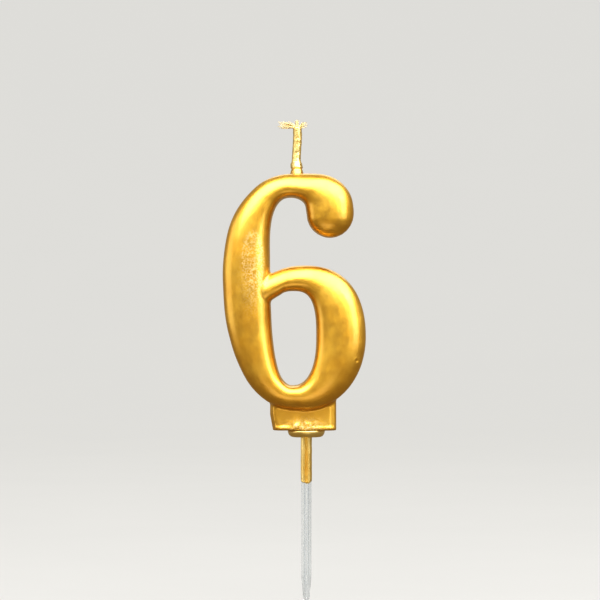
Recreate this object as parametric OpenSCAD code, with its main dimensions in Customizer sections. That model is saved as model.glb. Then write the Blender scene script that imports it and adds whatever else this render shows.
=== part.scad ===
// Number birthday candle: the numeral 6 cast in wax, dipped in gold lacquer, on a clear cake pick.
// Millimetres. +Z is up and the numeral faces -Y. The origin is on the pick's axis, in the plane of
// the collar's underside, which is the face that rests on the cake.

/* [Numeral] */
// Height of the numeral, from the foot of its bowl to its top edge
numeral_h = 62.8; // [50:0.1:80]
// Distance from the spring line of the rounded front to the flat back
side_d = 9; // [8.8:0.1:11]
// How far a stroke 12 mm wide is crowned in front of the spring line
crown_h = 4; // [2.5:0.1:5]
// How far the crown's ridge lies towards a stroke's inner edge, as a share of its half width
ridge_shift = 0.2; // [0:0.05:0.3]
// Thickness of the gold coat on the wax
coat_t = 0.3; // [0.2:0.05:0.5]

/* [Plinth] */
// Width of the plinth under the numeral
plinth_w = 17.7; // [14:0.1:20]
// Depth of the plinth, front to back
plinth_d = 8; // [7:0.1:8.4]
// Radius of the plinth's upright edges
plinth_r = 1.8; // [0.8:0.1:2]

/* [Wick] */
// Length of wick that stands above the numeral
wick_l = 14.8; // [10:0.1:20]
// Radius of one of the three strands
strand_r = 0.36; // [0.3:0.01:0.36]
// Outer radius of the gold coat on the wick
wick_coat_r = 1.03; // [1:0.01:1.2]
// Radius of the flared foot of that coat
wick_foot_r = 1.7; // [1.4:0.05:2]

/* [Pick] */
// Width across the arms of the cross-shaped spike
pick_w = 3; // [2.5:0.1:4]
// Thickness of each arm
rib_t = 1; // [0.8:0.05:1.2]
// Length of the spike below the collar
spike_l = 48; // [40:1:60]
// Length of the taper that ends in the point
taper_l = 11; // [8:0.5:15]
// Radius of the collar
collar_r = 5; // [4:0.1:6]
// Thickness of the collar, gold film included
collar_t = 1.8; // [1.4:0.1:2.2]
// Length of the anchor above the collar, inside the plinth
anchor_l = 10; // [7:0.1:10.4]
// Thickness of the gold film on the collar and the spike
film_t = 0.15; // [0.1:0.01:0.2]
// How far down the spike the gold film reaches
film_l = 11.7; // [8:0.1:16]

/* [Hidden] */

gold = "goldenrod";
wax_white = "ivory";
clear = "lightcyan";

// The numeral is drawn at its nominal height and scaled to numeral_h.
nominal_h = 62.8;
k = numeral_h / nominal_h;
numeral_z = 7.3;
plinth_x = -0.85;
plinth_rise = 5.5;

// The plinth's lower left corner is worn in by plinth_worn at the foot, fading out plinth_worn_h up.
plinth_worn = 0.8;
plinth_worn_h = 4.3;
plinth_foot_h = 0.1;
plinth_top = numeral_z + plinth_rise * k;

// The bowl runs between an outer and an inner superellipse. Each is [centre x, centre z, half width,
// half height, power of the lower half, power of the upper half], with z from the numeral's foot.
bowl_outer = [-0.3, 19.2, 16.1, 19.2, 2, 2.35];
bowl_inner = [-3.4, 19, 6, 12.55, 2.25, 3];
bowl_from = -90;
bowl_split = 0;
bowl_to = 108;
bowl_step = 6;

// Rungs that carry the top of the bowl on into the stem, where it sinks away. Each is [outer x,
// outer z, inner x, inner z, share of ridge_shift, share of the crown].
bowl_end = [
    [-8.6, 36.6, -8.7, 29.5, 0.8, 1],
    [-11, 35.6, -10.2, 28.2, 0.4, 1],
    [-13.8, 34.2, -12.4, 27.2, 0, 0.9],
    [-16.8, 32.5, -15.2, 26.2, 0, 0.6],
];

// The ball that ends the top stroke: [centre x, centre z, radius], with z from the numeral's foot.
// Its rungs are ball_step degrees apart, then one at ball_last, and ball_lead sets the slope above.
ball = [6.35, 52.1, 6.3];
ball_step = 15;
ball_rungs = 5;
ball_last = 84;
ball_lead = 25;

// The stroke from the ball over the top and down the stem. Each rung crosses the stroke from its
// outer to its inner edge: [outer x, outer z, inner x, inner z, share of ridge_shift], with z from
// the numeral's foot.
stem_rungs = [
    [11.9, 56.8, -0.4, 54.6, 1],
    [9.2, 60.4, -1.5, 55.8, 1],
    [5.2, 62.4, -3, 56.4, 1],
    [-0.5, 62.8, -4.6, 56.5, 1],
    [-7, 62.4, -6.2, 56.1, 1],
    [-12.2, 60.2, -7.6, 54.8, 0.8],
    [-16.6, 55.9, -8.7, 52.6, 0.5],
    [-19.6, 51, -9.4, 49.6, 0.2],
    [-21.3, 45.5, -9.7, 45.6, 0],
    [-22.2, 38.2, -9.7, 39.6, 0],
    [-22.1, 31.7, -9.6, 32.6, 0],
    [-21.7, 25.7, -9.4, 26.2, 0],
    [-20.7, 20.2, -9.1, 20.6, 0],
    [-18.4, 13, -8.3, 14.2, 0.2],
    [-14.6, 6.1, -7, 9.3, 0.5],
    [-8.6, 1.3, -5.2, 6.9, 0.8],
];
steps_per_rung = 4;

// Section of a stroke: steps across the rounded front, width of the back bevels, roundness of the
// front, the half width at which the crown is crown_h high, and how fast it drops in narrower ones.
front_steps = 14;
back_r = 0.8;
crown_power = 2.3;
crown_half_w = 6;
crown_fall = 0.35;

// Wick: strands twisted round a gently waving axis, splayed at the tip. The wave's angles are those
// that its two directions run through, and the twist is in degrees.
strands = 3;
wick_x = -2.5;
wick_base = numeral_z + numeral_h;
wick_embed = 5;
wick_hole_r = 0.86;
wick_wave = 0.3;
wave_angles = [400, 300];
wick_splay = 1.6;
splay_l = 2.2;
strand_offset = 0.44;
twist_per_mm = 55;
wick_steps = 48;
strand_sides = 6;
tube_steps = 20;
tube_sides = 20;
foot_l = 2.4;

// Pick: the turn of its cross about the upright axis, rounding of the collar's rim, the V of the
// film's lower edge, the blunt tip, and the barbs as heights along the anchor, reach, rise and depth
// of their root in the arm.
cross_turn = 45;
collar_rim = 1.3;
rim_step = 10;
drip_l = 0.8;
tip_w = 0.3;
barb_at = [0.35, 0.7];
barb = 0.6;
barb_rise = 1.5;
barb_root = 0.5;

// How far one solid runs into another that it joins or cuts.
lap = 1;

// ---- Curves ----

// Catmull-Rom interpolation between b and c.
function spline(a, b, c, d, t) =
    0.5 * (2 * b + (c - a) * t + (2 * a - 5 * b + 4 * c - d) * t * t
        + (3 * b - a - 3 * c + d) * t * t * t);

// Point of a superellipse e at polar angle a.
function superellipse(e, a) =
    let (
        p = sin(a) < 0 ? e[4] : e[5],
        r = pow(pow(abs(cos(a)) / e[2], p) + pow(abs(sin(a)) / e[3], p), -1 / p)
    )
    [e[0] + r * cos(a), e[1] + r * sin(a)];

// Rungs are [outer x, outer z, inner x, inner z, share of ridge_shift, share of the crown].
function bowl_rung(a) = concat(superellipse(bowl_outer, a), superellipse(bowl_inner, a), 1, 1);

// Rung across the ball, phi degrees below its centre. It shrinks towards the ball's foot, in width
// and in crown, so that the end is round.
function ball_rung(phi, inset) =
    let (half = (ball[2] - inset) * cos(phi) + inset, z = ball[1] - (ball[2] - inset) * sin(phi))
    [ball[0] + half, z, ball[0] - half, z, 1, pow(cos(phi), 2 / crown_power - crown_fall)];

// The rungs between one of the ball and one of the bowl, with one more at each end for the slope.
function padded_rungs() = concat(
    [ball_rung(ball_lead, 0), ball_rung(0, 0)],
    [for (r = stem_rungs) concat(r, 1)],
    [bowl_rung(bowl_from), bowl_rung(bowl_from + 2 * bowl_step)]
);

// From the ball over the top, down the stem and round the foot, up to the bowl's widest point.
function main_path(inset) =
    let (r = padded_rungs(), n = len(stem_rungs) + 1)
    concat(
        [ball_rung(ball_last, inset)],
        [for (i = [ball_rungs:-1:1]) ball_rung(i * ball_step, inset)],
        [for (i = [0:n - 1], j = [0:steps_per_rung - 1])
            spline(r[i], r[i + 1], r[i + 2], r[i + 3], j / steps_per_rung)],
        [for (a = [bowl_from:bowl_step:bowl_split]) bowl_rung(a)]
    );

// From there over the top of the bowl and into the stem.
function return_path() = concat(
    [for (a = [bowl_split:bowl_step:bowl_to]) bowl_rung(a)],
    bowl_end
);

// ---- Stroke sections ----

// Crown height of a stroke of half width w: narrow strokes are crowned less.
function crown(w) = crown_h * pow(w / crown_half_w, crown_fall);

// Section of a stroke of half width w and crown h as [position across, y], from its outer to its
// inner edge over the front, then back behind. The ridge lies lean of w inside the middle, and inset
// draws every face that much further in.
function section(w, h, lean, inset) =
    let (wi = w - inset, y0 = -side_d / 2, yb = side_d / 2 - inset)
    concat(
        [for (i = [0:front_steps])
            let (a = 180 * i / front_steps)
            [wi * (lean * pow(sin(a), 2) - cos(a)), y0 - (h - inset) * pow(sin(a), 2 / crown_power)]],
        [[wi, yb - back_r], [wi - back_r, yb], [back_r - wi, yb], [-wi, yb - back_r]]
    );

// One ring of points across a rung, in place.
function ring(rung, inset) =
    let (
        outer = [rung[0], rung[1]] * k,
        inner = [rung[2], rung[3]] * k,
        mid = (outer + inner) / 2,
        half = norm(inner - outer) / 2,
        dir = (inner - outer) / (2 * half)
    )
    [for (p = section(half, crown(half) * rung[5], ridge_shift * rung[4], inset))
        [mid[0] + dir[0] * p[0], p[1], numeral_z + mid[1] + dir[1] * p[0]]];

// Closed tube through a list of rings with the same number of points.
module loft(rings) {
    n = len(rings[0]);
    m = len(rings);
    polyhedron(
        points = [for (r = rings) each r],
        faces = concat(
            [[for (i = [n - 1:-1:0]) i]],
            [for (j = [0:m - 2], i = [0:n - 1])
                let (a = j * n + i, b = j * n + (i + 1) % n)
                each [[a, b, a + n], [b, b + n, a + n]]],
            [[for (i = [0:n - 1]) (m - 1) * n + i]]
        ),
        convexity = 8
    );
}

module stroke(path, inset) {
    loft([for (rung = path) ring(rung, inset)]);
}

// ---- Numeral ----

// Slab of the plinth from height z, h tall, with its left side worn in.
module plinth_slab(inset, worn, z, h) {
    translate([plinth_x + worn / 2, 0, z])
        linear_extrude(h)
            offset(r = plinth_r - inset)
                square([plinth_w - worn - 2 * plinth_r, plinth_d - 2 * plinth_r], center = true);
}

module plinth_block(inset) {
    low = collar_t + inset;
    full = collar_t + plinth_worn_h;
    hull() {
        plinth_slab(inset, plinth_worn, low, plinth_foot_h);
        plinth_slab(inset, 0, full, plinth_top - full);
    }
}

// Numeral and plinth in one, with every face drawn inset further in.
module numeral(inset) {
    stroke(main_path(inset), inset);
    stroke(return_path(), inset);
    plinth_block(inset);
}

// ---- Wick ----

// Centre of the wick at height z: straight in the wax, gently waving above it.
function wick_axis(z) =
    let (u = max(0, z - wick_base) / wick_l)
    [wick_x + wick_wave * sin(wave_angles[0] * u) * u, wick_wave * (1 - cos(wave_angles[1] * u)) * u];

function circle_ring(centre, r, z, sides) =
    [for (i = [0:sides - 1])
        let (a = -360 * i / sides)
        [centre[0] + r * cos(a), centre[1] + r * sin(a), z]];

module strand(phase) {
    z0 = wick_base - wick_embed;
    z1 = wick_base + wick_l;
    loft([for (i = [0:wick_steps])
        let (
            z = z0 + (z1 - z0) * i / wick_steps,
            splay = pow(max(0, z - z1 + splay_l) / splay_l, 2) * wick_splay,
            a = phase + twist_per_mm * (z - z0),
            off = strand_offset + splay,
            c = wick_axis(z)
        )
        circle_ring([c[0] + off * cos(a), c[1] + off * sin(a)], strand_r, z, strand_sides)]);
}

// A tube round the wick's axis, of radius r, and wider by flare at the numeral's top.
module wick_tube(r, flare, from, to) {
    loft([for (i = [0:tube_steps])
        let (
            z = from + (to - from) * i / tube_steps,
            wide = r + flare * pow(max(0, 1 - (z - wick_base) / foot_l), 2)
        )
        circle_ring(wick_axis(z), wide, z, tube_sides)]);
}

module wick_hole() {
    translate([wick_x, 0, wick_base - wick_embed])
        cylinder(r = wick_hole_r, h = wick_embed + lap, $fn = 24);
}

// ---- Pick ----

module cross(w, t) {
    square([w, t], center = true);
    square([t, w], center = true);
}

// Side view of the spike: straight, then tapered to its point.
module spike_wedge() {
    rotate([90, 0, 0])
        linear_extrude(2 * pick_w, center = true)
            polygon([
                [pick_w / 2, collar_t],
                [-pick_w / 2, collar_t],
                [-pick_w / 2, taper_l - spike_l],
                [-tip_w / 2, -spike_l],
                [tip_w / 2, -spike_l],
                [pick_w / 2, taper_l - spike_l],
            ]);
}

module spike() {
    rotate([0, 0, cross_turn])
        intersection() {
            translate([0, 0, -spike_l])
                linear_extrude(spike_l + collar_t)
                    cross(pick_w, rib_t);
            spike_wedge();
            rotate([0, 0, 90]) spike_wedge();
        }
}

// The part of the pick that the wax is cast around, with two pairs of barbs.
module anchor() {
    rotate([0, 0, cross_turn]) {
        translate([0, 0, collar_t - lap])
            linear_extrude(anchor_l + lap)
                cross(pick_w, rib_t);
        for (share = barb_at, side = [-1, 1])
            translate([side * pick_w / 2, 0, collar_t + anchor_l * share])
                rotate([90, 0, 0])
                    linear_extrude(rib_t, center = true)
                        polygon([
                            [-side * barb_root, 0],
                            [side * barb, 0],
                            [-side * barb_root, barb_rise],
                        ]);
    }
}

// Disc, flat above and rounded round its lower rim. inset draws its underside and its rim that much
// further in.
module collar(inset) {
    rotate_extrude($fn = 64)
        polygon(concat(
            [[0, collar_t], [0, inset]],
            [for (a = [-90:rim_step:0])
                [
                    collar_r - collar_rim + (collar_rim - inset) * cos(a),
                    collar_t + (collar_t - inset) * sin(a),
                ]]
        ));
}

// Side view of what the film covers: down to a V that points along the spike.
module film_edge() {
    rotate([90, 0, 0])
        linear_extrude(2 * pick_w, center = true)
            polygon([
                [pick_w, film_t],
                [-pick_w, film_t],
                [-pick_w, -film_l],
                [0, -film_l - drip_l],
                [pick_w, -film_l],
            ]);
}

// ---- Nodes ----

// Evaluates its children as one mesh. Zeros leave their size as it is.
module one_mesh() {
    resize([0, 0, 0]) children();
}

module wax_numeral() {
    color(wax_white)
        one_mesh()
            difference() {
                numeral(coat_t);
                wick_hole();
                anchor();
            }
}

module gold_coat() {
    color(gold)
        one_mesh()
            difference() {
                numeral(0);
                numeral(coat_t);
                wick_hole();
                anchor();
            }
}

module wick() {
    color("white")
        for (i = [0:strands - 1])
            strand(360 * i / strands);
}

module wick_coat() {
    color(gold)
        one_mesh()
            difference() {
                wick_tube(
                    wick_coat_r,
                    wick_foot_r - wick_coat_r,
                    wick_base - lap,
                    wick_base + wick_l - splay_l
                );
                wick_tube(wick_hole_r, 0, wick_base - 2 * lap, wick_base + wick_l);
                numeral(0);
            }
}

module pick() {
    color(clear) {
        spike();
        collar(film_t);
        anchor();
    }
}

module pick_coat() {
    color(gold)
        difference() {
            union() {
                collar(0);
                intersection() {
                    translate([0, 0, -spike_l])
                        rotate([0, 0, cross_turn])
                            linear_extrude(spike_l + film_t)
                                cross(pick_w + 2 * film_t, rib_t + 2 * film_t);
                    film_edge();
                }
            }
            collar(film_t);
            spike();
        }
}

wax_numeral();
gold_coat();
wick();
wick_coat();
pick();
pick_coat();
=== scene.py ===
"""Looks of the gold number candle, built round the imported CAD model. Metres, in the CAD frame."""

import math
import random
from collections import namedtuple

import bmesh
import bpy
import numpy as np
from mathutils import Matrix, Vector, noise
from mathutils.bvhtree import BVHTree


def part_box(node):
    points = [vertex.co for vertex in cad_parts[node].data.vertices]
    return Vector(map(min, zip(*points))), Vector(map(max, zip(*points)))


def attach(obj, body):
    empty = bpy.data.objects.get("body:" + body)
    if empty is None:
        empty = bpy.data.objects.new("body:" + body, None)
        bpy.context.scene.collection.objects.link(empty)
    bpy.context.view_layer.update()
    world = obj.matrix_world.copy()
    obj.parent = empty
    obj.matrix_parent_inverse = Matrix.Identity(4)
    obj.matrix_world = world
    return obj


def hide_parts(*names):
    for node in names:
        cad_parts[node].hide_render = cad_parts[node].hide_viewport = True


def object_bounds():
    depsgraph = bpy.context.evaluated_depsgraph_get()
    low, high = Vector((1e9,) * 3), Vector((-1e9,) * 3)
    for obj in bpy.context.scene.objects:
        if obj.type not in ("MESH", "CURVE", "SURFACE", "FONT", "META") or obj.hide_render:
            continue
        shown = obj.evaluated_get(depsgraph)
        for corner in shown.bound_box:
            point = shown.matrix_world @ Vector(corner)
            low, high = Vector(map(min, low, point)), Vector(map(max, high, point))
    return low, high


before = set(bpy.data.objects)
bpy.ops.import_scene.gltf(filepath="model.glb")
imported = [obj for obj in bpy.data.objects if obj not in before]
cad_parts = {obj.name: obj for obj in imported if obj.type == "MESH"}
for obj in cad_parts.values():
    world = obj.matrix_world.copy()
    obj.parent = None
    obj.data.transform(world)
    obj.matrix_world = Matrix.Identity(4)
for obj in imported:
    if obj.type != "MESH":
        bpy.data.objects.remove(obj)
CAD_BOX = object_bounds()

MM = 0.001

# Boxes of the CAD nodes that the pieces are built round.
COAT_LO, COAT_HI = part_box("gold_coat")
WICK_COAT_LO, WICK_COAT_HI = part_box("wick_coat")
FILM_LO, FILM_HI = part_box("pick_coat")
WICK_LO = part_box("wick")[0]
COLLAR_TOP = COAT_LO.z

# Points of a CAD mesh that are closer than this are one point.
SAME_POINT = 0.002 * MM


# ---- Mesh helpers ----


def link_mesh(name, mesh):
    obj = bpy.data.objects.new(name, mesh)
    bpy.context.scene.collection.objects.link(obj)
    return obj


def new_object(name, verts, faces, material):
    """A smooth-shaded mesh object in the scene, with one material."""
    mesh = bpy.data.meshes.new(name)
    mesh.from_pydata([tuple(v) for v in verts], [], [tuple(f) for f in faces])
    mesh.validate()
    mesh.update()
    mesh.shade_smooth()
    mesh.materials.append(material)
    return link_mesh(name, mesh)


def object_from(bm, name):
    """A mesh object made from a bmesh, which is freed."""
    mesh = bpy.data.meshes.new(name)
    bm.to_mesh(mesh)
    bm.free()
    return link_mesh(name, mesh)


def read_points(obj):
    co = np.empty(len(obj.data.vertices) * 3)
    obj.data.vertices.foreach_get("co", co)
    return co.reshape(-1, 3)


def read_normals(obj):
    normals = np.empty(len(obj.data.vertices) * 3)
    obj.data.vertices.foreach_get("normal", normals)
    return normals.reshape(-1, 3)


def write_points(obj, co):
    obj.data.vertices.foreach_set("co", co.ravel())
    obj.data.update()


def write_mask(obj, name, values):
    """A value per vertex, which the object's material reads by its name."""
    mask = obj.data.attributes.new(name, "FLOAT", "POINT")
    mask.data.foreach_set("value", values.astype(np.float32))


def bake_modifiers(obj):
    """Replaces the object's mesh with what its modifiers make of it."""
    graph = bpy.context.evaluated_depsgraph_get()
    mesh = bpy.data.meshes.new_from_object(obj.evaluated_get(graph))
    old = obj.data
    obj.modifiers.clear()
    obj.data = mesh
    bpy.data.meshes.remove(old)
    obj.data.shade_smooth()


def remesh(obj, voxel):
    """Rebuilds a closed mesh from even faces one voxel across."""
    modifier = obj.modifiers.new("remesh", "REMESH")
    modifier.mode = "VOXEL"
    modifier.voxel_size = voxel
    bake_modifiers(obj)


def make_shell(obj, thickness, material):
    """Gives a surface its material and a wall on its inner side."""
    obj.data.materials.clear()
    obj.data.materials.append(material)
    modifier = obj.modifiers.new("wall", "SOLIDIFY")
    modifier.thickness = thickness
    modifier.offset = -1
    bake_modifiers(obj)


def smooth_points(obj, co, rounds, weight):
    """Taubin smoothing: takes out facets a few edges long and keeps the size. weight is per vertex."""
    shrink, grow = 0.5, -0.53
    edges = np.empty(len(obj.data.edges) * 2, int)
    obj.data.edges.foreach_get("vertices", edges)
    a, b = edges.reshape(-1, 2).T
    count = np.bincount(a, minlength=len(co)) + np.bincount(b, minlength=len(co))
    count = np.maximum(count, 1)[:, None]
    for step in [shrink, grow] * rounds:
        total = np.zeros_like(co)
        for axis in range(3):
            total[:, axis] += np.bincount(a, co[b, axis], len(co))
            total[:, axis] += np.bincount(b, co[a, axis], len(co))
        co = co + step * weight[:, None] * (total / count - co)
    return co


def field(co, size, seed):
    """Smooth noise from -1 to 1 at each point, with features about size across."""
    shift = Vector((seed * 7.3, seed * 3.1, seed * 5.7))
    return np.array([noise.noise(Vector(p) / size + shift) for p in co])


def layers(co, waves):
    """Noise fields added up, each given as its amplitude, feature size and seed."""
    return sum(amplitude * field(co, size, seed) for amplitude, size, seed in waves)


def ramp(x, low, high):
    """0 below low, 1 above high, smooth between."""
    t = np.clip((x - low) / (high - low), 0, 1)
    return t * t * (3 - 2 * t)


def bell(x, width):
    """1 where x is 0, falling to 0 a few widths away."""
    return np.exp(-((x / width) ** 2))


def side_faces(rings, sides):
    """The four-sided faces between neighbouring rings of points."""
    return [
        (j * sides + i, j * sides + (i + 1) % sides, (j + 1) * sides + (i + 1) % sides, (j + 1) * sides + i)
        for j in range(rings - 1)
        for i in range(sides)
    ]


def tube_mesh(rings):
    """Vertices and faces of a closed tube through rings of equal length."""
    verts = [p for ring in rings for p in ring]
    count, sides = len(rings), len(rings[0])
    faces = side_faces(count, sides)
    faces.append(tuple(reversed(range(sides))))
    faces.append(tuple((count - 1) * sides + i for i in range(sides)))
    return verts, faces


# ---- Materials ----

# Ranges of a noise texture that are stretched over a mix: the narrow one gives more contrast.
NARROW = (0.35, 0.65)
WIDE = (0.3, 0.7)

# Gold tones: dark and bright colour, and middle roughness.
LACQUER = ((0.8, 0.45, 0.035, 1), (0.86, 0.53, 0.06, 1), 0.38)
GOLD_WAX = ((0.8, 0.6, 0.2, 1), (0.86, 0.7, 0.3, 1), 0.42)
THIN_FILM = ((0.88, 0.62, 0.16, 1), (0.95, 0.76, 0.3, 1), 0.34)
# Pale gold that real scuffs and smears go to, and a patch of painted sheen too.
SCUFF_AND_SHEEN_GOLD = (1, 0.86, 0.5, 1)
SCUFF_ROUGHER = 0.18

# The surface of the gold, coarse to fine: feature size, detail, height and strength of each bump.
GOLD_BUMPS = (
    (1.1 * MM, 2, 0.02 * MM, 0.5),
    (0.4 * MM, 2, 0.008 * MM, 0.5),
    (0.16 * MM, 1, 0.004 * MM, 0.6),
)


def new_material(name):
    """A material, its node tree and its Principled shader."""
    material = bpy.data.materials.new(name)
    material.use_nodes = True
    return material, material.node_tree, material.node_tree.nodes["Principled BSDF"]


def set_inputs(node, values):
    for key, value in values.items():
        node.inputs[key].default_value = value


def add_node(tree, kind, inputs, **settings):
    """A node whose inputs are numbers, or sockets to link from."""
    node = tree.nodes.new(kind)
    for key, value in settings.items():
        setattr(node, key, value)
    for key, value in inputs.items():
        if isinstance(value, bpy.types.NodeSocket):
            tree.links.new(value, node.inputs[key])
        else:
            node.inputs[key].default_value = value
    return node


def texture_noise(tree, size, detail, stretch=(1, 1, 1)):
    """A noise output from 0 to 1 with features about size across, in object space."""
    place = add_node(tree, "ShaderNodeTexCoord", {}).outputs["Object"]
    scaled = add_node(tree, "ShaderNodeMapping", {"Vector": place, "Scale": stretch})
    noise_node = add_node(
        tree, "ShaderNodeTexNoise",
        {"Vector": scaled.outputs["Vector"], "Scale": 1 / size, "Detail": detail},
    )
    return noise_node.outputs["Fac"]


def remap(tree, value, given, wanted=(0, 1)):
    """Stretches the given range of a value over the wanted one."""
    node = add_node(
        tree, "ShaderNodeMapRange",
        {
            "Value": value, "From Min": given[0], "From Max": given[1],
            "To Min": wanted[0], "To Max": wanted[1],
        },
    )
    return node.outputs["Result"]


def mix_colour(tree, factor, first, second):
    """Mixes two colours. The node's sockets share names between types, so they go by number."""
    sockets = {0: factor, 6: first, 7: second}
    return add_node(tree, "ShaderNodeMix", sockets, data_type="RGBA").outputs[2]


def calculate(tree, operation, *values):
    inputs = dict(enumerate(values))
    return add_node(tree, "ShaderNodeMath", inputs, operation=operation).outputs[0]


def bump(tree, height, distance, strength, under=None):
    inputs = {"Height": height, "Distance": distance, "Strength": strength}
    if under is not None:
        inputs["Normal"] = under
    return add_node(tree, "ShaderNodeBump", inputs).outputs["Normal"]


def attribute(tree, name):
    return add_node(tree, "ShaderNodeAttribute", {}, attribute_name=name).outputs["Fac"]


def gold_material(name, tone, marks=False):
    """Metallic lacquer over wax: cloudy colour, orange peel, fine flakes and uneven gloss.

    marks adds what the vertex masks say: painted shade that darkens the hollows, scuffed patches, and a
    paler patch painted as sheen."""
    material, tree, shader = new_material(name)
    deep, bright, roughness = tone
    cloud = texture_noise(tree, 7 * MM, detail=3)
    colour = mix_colour(tree, remap(tree, cloud, NARROW), deep, bright)
    gloss = texture_noise(tree, 2.2 * MM, detail=4)
    rough = remap(tree, gloss, WIDE, (roughness - 0.05, roughness + 0.06))
    if marks:
        # The hollows are darkened towards a deeper orange: painted shade.
        hollow_shade_colour = (deep[0] * 0.86, deep[1] * 0.72, deep[2] * 0.5, 1)
        colour = mix_colour(tree, attribute(tree, "hollow_shade"), colour, hollow_shade_colour)
        # Real scuffs and smears, and a patch on the stem painted paler as sheen, all go paler and rougher.
        grain = remap(tree, texture_noise(tree, 0.45 * MM, detail=3), (0.42, 0.6))
        scuff_and_sheen = calculate(tree, "MULTIPLY", grain, attribute(tree, "scuff_and_sheen"))
        colour = mix_colour(tree, scuff_and_sheen, colour, SCUFF_AND_SHEEN_GOLD)
        rough = calculate(tree, "MULTIPLY_ADD", scuff_and_sheen, SCUFF_ROUGHER, rough)
    tree.links.new(colour, shader.inputs["Base Color"])
    tree.links.new(rough, shader.inputs["Roughness"])
    set_inputs(shader, {"Metallic": 1, "Coat Weight": 1, "Coat Roughness": 0.26, "Coat IOR": 1.65})
    peel = None
    for size, detail, height, strength in GOLD_BUMPS:
        peel = bump(tree, texture_noise(tree, size, detail), height, strength, peel)
    tree.links.new(peel, shader.inputs["Normal"])
    return material


def wax_material():
    """Undyed paraffin: milky, slightly mottled, soft sheen."""
    material, tree, shader = new_material("paraffin")
    mottle = remap(tree, texture_noise(tree, 3 * MM, detail=4), NARROW)
    colour = mix_colour(tree, mottle, (0.9, 0.86, 0.74, 1), (0.97, 0.95, 0.88, 1))
    rough = remap(tree, texture_noise(tree, 1.5 * MM, detail=3), WIDE, (0.35, 0.55))
    dents = bump(tree, texture_noise(tree, 0.8 * MM, detail=3), 0.02 * MM, strength=0.4)
    tree.links.new(colour, shader.inputs["Base Color"])
    tree.links.new(rough, shader.inputs["Roughness"])
    tree.links.new(dents, shader.inputs["Normal"])
    set_inputs(shader, {
        "Subsurface Weight": 0.4,
        "Subsurface Radius": (4 * MM, 3 * MM, 2 * MM),
        "Subsurface Scale": 1,
    })
    return material


def cotton_material():
    """Waxed cotton yarn, tinted by the gold dip, with fibre streaks along it."""
    material, tree, shader = new_material("cotton")
    streak = remap(tree, texture_noise(tree, 0.12 * MM, detail=3, stretch=(1, 1, 0.15)), NARROW)
    colour = mix_colour(tree, streak, (0.7, 0.54, 0.22, 1), (0.93, 0.84, 0.5, 1))
    tree.links.new(colour, shader.inputs["Base Color"])
    tree.links.new(remap(tree, streak, (0, 1), (0.5, 0.7)), shader.inputs["Roughness"])
    tree.links.new(bump(tree, streak, 0.02 * MM, strength=0.6), shader.inputs["Normal"])
    set_inputs(shader, {"Metallic": 0.35, "Sheen Weight": 0.3})
    return material


def clear_material():
    """Clear polystyrene: flow streaks from moulding and a lightly hazed surface."""
    material, tree, shader = new_material("clear_plastic")
    flow = texture_noise(tree, 0.9 * MM, detail=3, stretch=(1, 1, 0.12))
    tint = mix_colour(tree, remap(tree, flow, WIDE), (0.74, 0.77, 0.79, 1), (0.9, 0.92, 0.93, 1))
    tree.links.new(tint, shader.inputs["Base Color"])
    tree.links.new(remap(tree, flow, WIDE, (0.05, 0.16)), shader.inputs["Roughness"])
    tree.links.new(bump(tree, flow, 0.02 * MM, strength=0.35), shader.inputs["Normal"])
    set_inputs(shader, {"Transmission Weight": 1, "IOR": 1.52})
    return material


# ---- Gold skin of the numeral and plinth ----

SKIN_VOXEL = 0.34 * MM
SKIN_WALL = 0.22 * MM

# Points of the coat further than this from the wax are on its outside.
COAT_GAP = 0.1 * MM

# The plinth ends here, and the numeral's straight side ends and its crown begins there.
PLINTH_TOP = COAT_LO.z + 6.2 * MM
CROWN_Y = COAT_HI.y - 9 * MM

# Marks fade over this height at the plinth's top.
PLINTH_FADE = 2 * MM

# Distances in front of the middle plane over which a mark fades in.
PLINTH_FACE = (2.5 * MM, 3.5 * MM)
CROWN_SIDE = (4.5 * MM, 5 * MM)
CROWN_TOP = (6 * MM, 7.6 * MM)

Spot = namedtuple("Spot", "x z radius_x radius_z")


def spot(share_x, share_z, radius_x, radius_z):
    """A place on the front, given as shares of the coat's width and height, and its radii."""
    return Spot(
        COAT_LO.x + share_x * (COAT_HI.x - COAT_LO.x),
        COAT_LO.z + share_z * (COAT_HI.z - COAT_LO.z),
        radius_x,
        radius_z,
    )


# Rounds of smoothing for the whole skin, and how much of it the plinth gets.
SMOOTH_ROUNDS = 34
PLINTH_SMOOTH = 0.12

# Where strokes meet and are blended: the corner over the bowl, and the bowl's stroke on the stem.
NOTCH = spot(0.337, 0.608, 2 * MM, 2 * MM)
JUNCTION = spot(0.29, 0.5, 3.5 * MM, 5 * MM)
BLENDS = ((NOTCH, 24), (JUNCTION, 30))

# Marks: the scuffed streak, in a paler patch of the stem that is a painted sheen, the bowl's nick, and
# pooled lacquer over the collar, whose pale tint is a little narrower than its lumps.
STREAK = spot(0.215, 0.6, 2.4 * MM, 7 * MM)
PATCH = spot(0.215, 0.66, 3.5 * MM, 9 * MM)
NICK = spot(0.934, 0.273, 0.55 * MM, 0.55 * MM)
BLOB = spot(0.52, 0.018, 0.9 * MM, 0.8 * MM)
SMEAR = spot(0.585, 0.012, 5 * MM, 1.9 * MM)
SMEAR_TINT = SMEAR._replace(radius_x=4.5 * MM, radius_z=2 * MM)

# How strongly each mark is scuffed, or for the patch painted paler as a sheen, and between which shares of
# nearness the patch ends.
STREAK_SCUFF = 0.6
PATCH_SHEEN = 0.42
SMEAR_SCUFF = 0.8
PATCH_EDGE = (0.37, 0.55)

# Unevenness of the skin, which is sunk a little so that it stays inside the CAD coat.
SKIN_SINK = 0.05 * MM
SKIN_WAVES = ((0.045 * MM, 9 * MM, 1), (0.012 * MM, 3.2 * MM, 2))
BACK_SINK = 0.08 * MM
BACK_WAVES = ((0.07 * MM, 5 * MM, 4),)
BACK_FADE = 0.3 * MM

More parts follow.
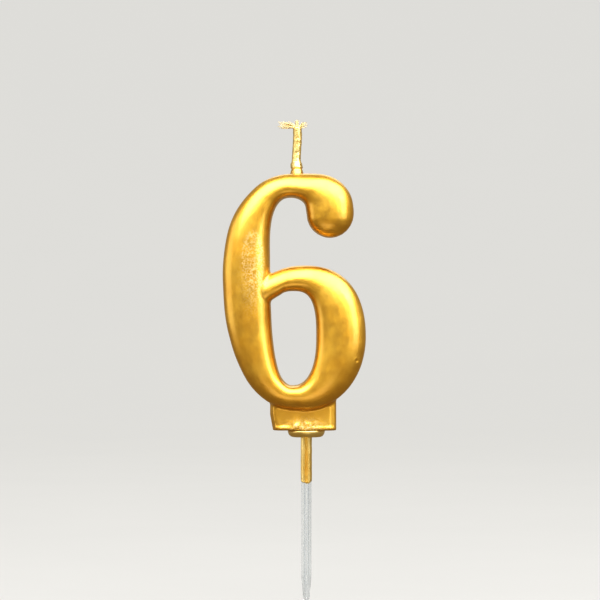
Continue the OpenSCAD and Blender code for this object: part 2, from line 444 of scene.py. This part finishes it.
# The rounded lip along the plinth's foot.
LIP_Z = COAT_LO.z + 0.7 * MM
LIP_WIDTH = 0.55 * MM
LIP_DEPTH = 0.3 * MM
LIP_RAGGED = 0.16 * MM
LIP_DRIFT = 0.15 * MM

BLOB_DEPTH = 0.5 * MM
SMEAR_DEPTH = 0.25 * MM
SMEAR_WAVES = ((0.2 * MM, 2 * MM, 9), (0.14 * MM, 0.9 * MM, 10))
NICK_DEPTH = 0.16 * MM
NICK_RIM = 0.06 * MM

# Hollows, which the gold darkens as painted shade, are where smoothing over this many rounds would fill the
# skin by these depths.
HOLLOW_ROUNDS = 15
HOLLOW_DEPTHS = (0.04 * MM, 0.25 * MM)


def closed_outside(node, under, gap):
    """The outside of a CAD coat as a closed mesh: its faces further than gap from what it covers."""
    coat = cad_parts[node].data
    trees = []
    for name in under:
        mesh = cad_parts[name].data
        trees.append(
            BVHTree.FromPolygons([v.co for v in mesh.vertices], [p.vertices for p in mesh.polygons])
        )
    outside = [all(tree.find_nearest(v.co)[3] > gap for tree in trees) for v in coat.vertices]
    bm = bmesh.new()
    verts = [bm.verts.new(v.co) for v in coat.vertices]
    for face in coat.polygons:
        if all(outside[i] for i in face.vertices):
            bm.faces.new([verts[i] for i in face.vertices])
    bmesh.ops.delete(bm, geom=[v for v in bm.verts if not v.link_faces], context="VERTS")
    bmesh.ops.remove_doubles(bm, verts=bm.verts, dist=SAME_POINT)
    bmesh.ops.holes_fill(bm, edges=[e for e in bm.edges if e.is_boundary], sides=0)
    bmesh.ops.triangle_fill(bm, edges=[e for e in bm.edges if e.is_boundary], use_beauty=True)
    bmesh.ops.recalc_face_normals(bm, faces=bm.faces)
    return object_from(bm, node + "_skin")


def distance(co, place):
    """Distance from a spot across the front, in units of its radii."""
    return np.hypot((co[:, 0] - place.x) / place.radius_x, (co[:, 2] - place.z) / place.radius_z)


def near(co, place):
    """1 at a spot of the front, falling to 0 with distance across it."""
    return bell(distance(co, place), 1)


def smooth_skin(obj, co):
    """Irons out the facets, blends the strokes, and keeps the plinth's edges."""
    numeral = np.maximum(
        ramp(co[:, 2], PLINTH_TOP - PLINTH_FADE, PLINTH_TOP + PLINTH_FADE),
        ramp(CROWN_Y - co[:, 1], 0.1 * MM, 0.8 * MM),
    )
    co = smooth_points(obj, co, SMOOTH_ROUNDS, PLINTH_SMOOTH + (1 - PLINTH_SMOOTH) * numeral)
    for place, rounds in BLENDS:
        co = smooth_points(obj, co, rounds, 0.9 * near(co, place))
    return co


def shape_skin(obj, co):
    """The unevenness of a dipped casting: a soft wave, the plinth's lip, a blob, a nick, a sunk back."""
    normals = read_normals(obj)
    co = co + normals * (layers(co, SKIN_WAVES) - SKIN_SINK)[:, None]

    plinth_face = ramp(-co[:, 1], *PLINTH_FACE) * ramp(PLINTH_TOP - co[:, 2], 0, PLINTH_FADE)
    ragged = field(co * (1, 0, 0.3), 1.4 * MM, 3)
    lip = bell(co[:, 2] - LIP_Z - LIP_DRIFT * ragged, LIP_WIDTH) * (LIP_DEPTH + LIP_RAGGED * ragged)
    blob = BLOB_DEPTH * near(co, BLOB)
    smear = near(co, SMEAR) * (SMEAR_DEPTH + layers(co, SMEAR_WAVES))
    co[:, 1] -= plinth_face * np.maximum.reduce([lip, blob, smear])

    reach = distance(co, NICK)
    crater = NICK_RIM * bell(reach - 1, 0.5) - NICK_DEPTH * bell(reach, math.sqrt(0.5))
    co = co + normals * (crater * ramp(-co[:, 1], *CROWN_SIDE))[:, None]

    back = ramp(co[:, 1], COAT_HI.y - BACK_FADE, COAT_HI.y)
    co[:, 1] -= back * (BACK_SINK + layers(co, BACK_WAVES))
    return np.clip(co, COAT_LO, COAT_HI)


def mark_skin(obj):
    """Vertex masks that the gold reads: hollows, darkened as painted shade, what is scuffed or smeared, and
    a paler patch painted as sheen.
    """
    co = read_points(obj)
    smoothed = smooth_points(obj, co, HOLLOW_ROUNDS, np.ones(len(co)))
    inward = ((smoothed - co) * read_normals(obj)).sum(1)
    # This mask darkens the hollows in the gold: painted shade.
    write_mask(obj, "hollow_shade", ramp(inward, *HOLLOW_DEPTHS))

    on_crown = ramp(-co[:, 1], *CROWN_TOP)
    streak = STREAK_SCUFF * near(co, STREAK) * on_crown
    # A paler patch on the stem: painted sheen.
    patch = PATCH_SHEEN * ramp(near(co, PATCH), *PATCH_EDGE) * on_crown
    smear = SMEAR_SCUFF * near(co, SMEAR_TINT) * ramp(-co[:, 1], *PLINTH_FACE)
    write_mask(obj, "scuff_and_sheen", np.maximum.reduce([streak, patch, smear]))


def make_gold_skin(material):
    """The lacquer on the numeral and plinth, as a smooth uneven shell."""
    skin = closed_outside("gold_coat", ["wax_numeral"], COAT_GAP)
    remesh(skin, SKIN_VOXEL)
    co = smooth_skin(skin, read_points(skin))
    write_points(skin, co)
    write_points(skin, shape_skin(skin, co))
    mark_skin(skin)
    make_shell(skin, SKIN_WALL, material)
    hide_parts("gold_coat")
    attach(skin, "root")


# ---- Wick ----

WICK_X = (WICK_COAT_LO.x + WICK_COAT_HI.x) / 2
WICK_FOOT = COAT_HI.z
PLY_COUNT = 3
PLY_RADIUS = 0.34 * MM
PLY_OFFSET = 0.42 * MM
PLY_TWIST = math.radians(55) / MM
PLY_STEPS = 64
PLY_SIDES = 10

FRAY_FROM = WICK_COAT_HI.z - 0.5 * MM
FRAY_SEED = 5
FIBRES = 28
FIBRE_STEPS = 11
FIBRE_SIDES = 6
FIBRE_TAPER = 0.6

# How the fibres of each ply spring over, to the left, to the right and up: lean, length and rise.
FRAY_SETS = (
    lambda rng: ((-1, rng.uniform(-0.35, 0.35)), rng.uniform(2, 4.8) * MM, rng.uniform(0.1, 1.8) * MM),
    lambda rng: ((1, rng.uniform(-0.45, 0.45)), rng.uniform(0.9, 2.3) * MM, rng.uniform(0.3, 1.7) * MM),
    lambda rng: (
        (rng.uniform(-0.5, 0.9), rng.uniform(-0.7, 0.7)),
        rng.uniform(0.2, 1.0) * MM,
        rng.uniform(1.2, 2.4) * MM,
    ),
)

# The wax on the wick, from its foot up: height over the foot and radius, in millimetres.
# A pedestal, a neck, a skirt over it and the stem.
WICK_COAT_FOOT = [
    (0, 1.8), (0.9, 1.55), (1.4, 1.36), (1.55, 1.6), (1.9, 1.64), (2.8, 1.5), (3.3, 1.26), (4, 1.17),
]
# The same down from its tip.
WICK_COAT_TIP = [(-0.5, 1.17), (-0.1, 1.05), (0, 0.85)]
WICK_COAT_SUNK = 0.3 * MM
WICK_COAT_SIDES = 48
WICK_COAT_STEPS = 190
PEDESTAL_TOP = (1.2 * MM, 1.5 * MM)
SKIRT_HEIGHT = 2 * MM
SKIRT_WIDTH = 0.8 * MM


def wick_centre(z):
    """The wick's axis: straight where it is cast in, waving a little above."""
    rise = max(0.0, z - WICK_FOOT)
    return Vector((
        WICK_X - 0.16 * MM * math.sin(rise / (2.2 * MM)) * min(1, rise / (3 * MM)),
        0.1 * MM * math.sin(rise / (2.9 * MM)),
        z,
    ))


def ply_point(ply, z):
    angle = PLY_TWIST * (z - WICK_LO.z) + ply * math.tau / PLY_COUNT
    return wick_centre(z) + PLY_OFFSET * Vector((math.cos(angle), math.sin(angle), 0))


def tube_rings(path, radii, sides):
    """Rings square to a path, one radius per point."""
    rings = []
    for i, point in enumerate(path):
        along = (path[min(i + 1, len(path) - 1)] - path[max(i - 1, 0)]).normalized()
        across = along.cross(Vector((0, 1, 0.02))).normalized()
        over = along.cross(across)
        rings.append([
            point + radii[i] * (math.cos(a) * across + math.sin(a) * over)
            for a in (math.tau * s / sides for s in range(sides))
        ])
    return rings


def fibre_path(rng, ply):
    """A loose fibre of one ply: it leaves the twist at the top and springs over to its side."""
    offset = Vector((rng.uniform(-1, 1), rng.uniform(-1, 1), 0))
    start = ply_point(ply, FRAY_FROM) + PLY_RADIUS * 0.8 * offset
    lean, length, rise = FRAY_SETS[ply](rng)
    path = []
    for i in range(FIBRE_STEPS):
        t = i / (FIBRE_STEPS - 1)
        out = length * t
        up = rise * (1 - (1 - t) ** 2) + 0.1 * MM * math.sin(7 * t + ply)
        path.append(start + Vector((lean[0] * out, lean[1] * out, up)))
    return path


def make_wick(material):
    """Three twisted plies whose ends fray: one fans out to the left, one to the right, one stands up."""
    verts, faces = [], []

    def add(path, radii, sides):
        tube_verts, tube_faces = tube_mesh(tube_rings(path, radii, sides))
        base = len(verts)
        verts.extend(tube_verts)
        faces.extend(tuple(base + i for i in face) for face in tube_faces)

    rng = random.Random(FRAY_SEED)
    top = FRAY_FROM + 0.3 * MM
    for ply in range(PLY_COUNT):
        heights = [WICK_LO.z + (top - WICK_LO.z) * i / (PLY_STEPS - 1) for i in range(PLY_STEPS)]
        add([ply_point(ply, z) for z in heights], [PLY_RADIUS] * PLY_STEPS, PLY_SIDES)
        for _ in range(FIBRES):
            path = fibre_path(rng, ply)
            thick = rng.uniform(0.07, 0.12) * MM
            taper = FIBRE_TAPER / (FIBRE_STEPS - 1)
            add(path, [thick * (1 - taper * i) for i in range(FIBRE_STEPS)], FIBRE_SIDES)
    wick = new_object("wick_cotton", verts, faces, material)
    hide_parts("wick")
    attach(wick, "root")


def wick_coat_point(angle, z, radius):
    """A point of the lumpy wax: it follows the plies a little, and its skirt is uneven."""
    way = Vector((math.cos(angle), math.sin(angle), 0))
    ply = math.cos(PLY_COUNT * (angle - PLY_TWIST * (z - WICK_LO.z)))
    place = way + Vector((0, 0, z / (1.1 * MM)))
    lump = noise.noise(place * 1.3) + 0.4 * noise.noise(place * 3.1)
    skirt = bell(z - WICK_FOOT - SKIRT_HEIGHT, SKIRT_WIDTH) * noise.noise(way * 2.2)
    bulge = (0.016 * ply + 0.06 * lump + 0.1 * float(skirt)) * MM
    return wick_centre(z) + (radius + bulge) * way


def make_wick_coat(material):
    """The gold wax that the dip left on the wick: lumpy, with a skirt over a small pedestal."""
    low = WICK_COAT_LO.z - WICK_COAT_SUNK
    profile = [(low, WICK_COAT_FOOT[0][1])]
    profile += [(WICK_FOOT + height * MM, radius) for height, radius in WICK_COAT_FOOT]
    profile += [(WICK_COAT_HI.z + height * MM, radius) for height, radius in WICK_COAT_TIP]
    heights = np.linspace(low, WICK_COAT_HI.z, WICK_COAT_STEPS)
    radii = np.interp(heights, [p[0] for p in profile], [p[1] for p in profile]) * MM
    angles = [math.tau * s / WICK_COAT_SIDES for s in range(WICK_COAT_SIDES)]
    rings = [
        [wick_coat_point(angle, z, radius) for angle in angles]
        for z, radius in zip(heights.tolist(), radii.tolist())
    ]
    coat = new_object("wick_gold", *tube_mesh(rings), material)
    # This mask darkens the pedestal under the skirt: painted shade.
    write_mask(coat, "hollow_shade", 1 - ramp(read_points(coat)[:, 2] - WICK_FOOT, *PEDESTAL_TOP))
    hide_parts("wick_coat")
    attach(coat, "root")


# ---- Pick and its gold film ----

FILM_VOXEL = 0.16 * MM
FILM_WALL = 0.12 * MM
FILM_ROUNDS = 6
FILM_HEIGHT = 0.13 * MM
FILM_WAVES = ((0.05 * MM, 2.4 * MM, 6), (0.02 * MM, 0.9 * MM, 7))

# The film's lower rim rises away from the drip in the middle, and is ragged.
DRIP_ZONE = 2 * MM
DRIP_RISE = 0.8 * MM
DRIP_HALF_WIDTH = 1.5 * MM
DRIP_WAVES = ((0.3 * MM, 0.8 * MM, 8),)
DRIP_MOST = 1.1 * MM
OPEN_FOOT = 1.6 * MM

PICK_EDGE = 0.12 * MM
PICK_WELD = 0.005 * MM
SHARP = math.radians(35)


def dipped_copy(node, low, high):
    """A closed copy of a CAD node between two heights."""
    bm = bmesh.new()
    bm.from_mesh(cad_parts[node].data)
    bmesh.ops.remove_doubles(bm, verts=bm.verts, dist=SAME_POINT)
    for height, up in ((low, -1), (high, 1)):
        geom = [*bm.verts, *bm.edges, *bm.faces]
        cut = bmesh.ops.bisect_plane(
            bm, geom=geom, plane_co=(0, 0, height), plane_no=(0, 0, up), clear_outer=True
        )
        rim = [e for e in cut["geom_cut"] if isinstance(e, bmesh.types.BMEdge)]
        bmesh.ops.triangle_fill(bm, edges=rim, use_beauty=True)
    bmesh.ops.recalc_face_normals(bm, faces=bm.faces)
    return object_from(bm, node + "_dip")


def open_foot(obj, below):
    """Takes off the faces that look down below a height."""
    bm = bmesh.new()
    bm.from_mesh(obj.data)
    foot = [f for f in bm.faces if f.normal.z < -0.6 and f.calc_center_median().z < below]
    bmesh.ops.delete(bm, geom=foot, context="FACES")
    bm.to_mesh(obj.data)
    bm.free()


def make_film(material):
    """The gold dip on the collar and the top of the spike: soft edges, uneven, with a ragged rim."""
    film = dipped_copy("pick", FILM_LO.z, COLLAR_TOP - 0.1 * MM)
    remesh(film, FILM_VOXEL)
    co = smooth_points(film, read_points(film), FILM_ROUNDS, np.ones(len(film.data.vertices)))
    write_points(film, co)
    co = co + read_normals(film) * (FILM_HEIGHT + layers(co, FILM_WAVES))[:, None]
    co = np.clip(co, FILM_LO, FILM_HI)
    drip = DRIP_RISE * np.abs(co[:, 0]) / DRIP_HALF_WIDTH + layers(co * (1, 1, 0), DRIP_WAVES)
    co[:, 2] += ramp(FILM_LO.z + DRIP_ZONE - co[:, 2], 0, DRIP_ZONE) * np.clip(drip, 0, DRIP_MOST)
    write_points(film, co)
    open_foot(film, FILM_LO.z + OPEN_FOOT)
    make_shell(film, FILM_WALL, material)
    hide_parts("pick_coat")
    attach(film, "root")


def finish_node(name, material, edge=None):
    """Keeps a CAD node, with a finished material and, if edge is given, rounded edges."""
    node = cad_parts[name]
    node.data.materials.clear()
    node.data.materials.append(material)
    if edge:
        weld = node.modifiers.new("weld", "WELD")
        weld.merge_threshold = PICK_WELD
        bevel = node.modifiers.new("bevel", "BEVEL")
        bevel.width = edge
        bevel.segments = 3
        bevel.limit_method = "ANGLE"
        bevel.angle_limit = SHARP


# ---- Floor, light and camera ----

# The floor is flat out to a radius, sweeps up, and goes on as a wall.
FLOOR_RADIUS = 0.9
SWEEP_RADIUS = 0.7
SWEEP_STEPS = 18
WALL_HEIGHT = 2.5
STAGE_SIDES = 96
STAGE_GLOW = 0.6

# Camera: level, square on, as far as a shop shelf; its frame is 160 mm wide at the candle.
VIEW_WIDTH = 160 * MM
VIEW_CENTRE = Vector((-1.7 * MM, 0, 36.5 * MM))
VIEW_DISTANCE = 0.75
SENSOR_WIDTH = 36


def stage_material():
    """A dull pale grey that glows a little, so that it stays even whatever light falls on it."""
    material, tree, shader = new_material("stage")
    grain = texture_noise(tree, 60 * MM, detail=3)
    colour = mix_colour(tree, grain, (0.1, 0.1, 0.1, 1), (0.12, 0.12, 0.12, 1))
    tree.links.new(colour, shader.inputs["Base Color"])
    set_inputs(shader, {
        "Emission Color": (0.96, 0.96, 0.94, 1),
        "Emission Strength": STAGE_GLOW,
        "Roughness": 0.8,
        "Specular IOR Level": 0.1,
    })
    return material


def make_stage():
    """A pale floor that sweeps up into a round wall, so that no horizon shows from any side."""
    sweep = [math.radians(90) * i / SWEEP_STEPS for i in range(1, SWEEP_STEPS + 1)]
    profile = [(1 * MM, 0), (FLOOR_RADIUS, 0)]
    profile += [
        (FLOOR_RADIUS + SWEEP_RADIUS * math.sin(a), SWEEP_RADIUS * (1 - math.cos(a))) for a in sweep
    ]
    profile.append((FLOOR_RADIUS + SWEEP_RADIUS, WALL_HEIGHT))
    turns = [math.tau * i / STAGE_SIDES for i in range(STAGE_SIDES)]
    verts = [
        (radius * math.cos(turn), radius * math.sin(turn), CAD_BOX[0].z + height)
        for radius, height in profile
        for turn in turns
    ]
    faces = side_faces(len(profile), STAGE_SIDES)
    faces.append(tuple(range(STAGE_SIDES)))
    stage = new_object("stage", verts, faces, stage_material())
    stage.visible_glossy = False
    stage.visible_diffuse = False
    stage.visible_shadow = False


def make_world():
    """A dim warm room round the soft lights, darker below."""
    world = bpy.data.worlds.new("studio")
    bpy.context.scene.world = world
    world.use_nodes = True
    tree = world.node_tree
    way = add_node(tree, "ShaderNodeTexCoord", {}).outputs["Generated"]
    height = add_node(tree, "ShaderNodeSeparateXYZ", {"Vector": way}).outputs["Z"]
    rise = remap(tree, height, (-0.5, 0.3))
    colour = mix_colour(tree, rise, (0.23, 0.17, 0.09, 1), (0.36, 0.31, 0.22, 1))
    tree.links.new(colour, tree.nodes["Background"].inputs["Color"])


def soft_light(name, place, aim, size, watts, colour):
    """A rectangular lamp at a place, turned towards its aim."""
    light = bpy.data.lights.new(name, "AREA")
    light.shape = "RECTANGLE"
    light.size, light.size_y = size
    light.energy = watts
    light.color = colour
    obj = bpy.data.objects.new(name, light)
    obj.location = place
    obj.rotation_euler = (Vector(aim) - Vector(place)).to_track_quat("-Z", "Y").to_euler()
    bpy.context.scene.collection.objects.link(obj)


def make_lights():
    """A wide key from above, a small bright one at the right, and weak ones that fill in."""
    soft_light(
        "key", place=(0.04, -0.26, 0.32), aim=(0, 0, 0.03), size=(0.9, 0.36), watts=4.4,
        colour=(1, 0.98, 0.95),
    )
    soft_light(
        "right", place=(0.27, -0.26, 0.11), aim=(0, 0, 0.05), size=(0.11, 0.2), watts=0.24,
        colour=(1, 0.97, 0.9),
    )
    soft_light(
        "left", place=(-0.62, -0.18, 0.12), aim=(0, 0, 0.03), size=(0.45, 0.5), watts=0.7,
        colour=(1, 0.95, 0.85),
    )
    soft_light(
        "back", place=(0.1, 0.5, 0.5), aim=(0, 0, 0.03), size=(0.6, 0.4), watts=0.9,
        colour=(1, 0.97, 0.92),
    )
    soft_light(
        "bounce", place=(0, -0.14, -0.05), aim=(0, 0, 0.005), size=(0.1, 0.05), watts=0.02,
        colour=(1, 0.85, 0.6),
    )


def make_camera():
    camera = bpy.data.cameras.new("camera")
    camera.sensor_width = SENSOR_WIDTH
    camera.lens = SENSOR_WIDTH * VIEW_DISTANCE / VIEW_WIDTH
    obj = bpy.data.objects.new("camera", camera)
    obj.location = VIEW_CENTRE - Vector((0, VIEW_DISTANCE, 0))
    obj.rotation_euler = (math.pi / 2, 0, 0)
    bpy.context.scene.collection.objects.link(obj)
    bpy.context.scene.camera = obj


make_gold_skin(gold_material("gold_lacquer", LACQUER, marks=True))
make_wick(cotton_material())
make_wick_coat(gold_material("gold_wax", GOLD_WAX, marks=True))
make_film(gold_material("gold_film", THIN_FILM))
finish_node("wax_numeral", wax_material())
finish_node("pick", clear_material(), edge=PICK_EDGE)

make_stage()
make_world()
make_camera()
make_lights()
bpy.context.scene.view_settings.view_transform = "Standard"
bpy.context.scene.view_settings.look = "Medium High Contrast"
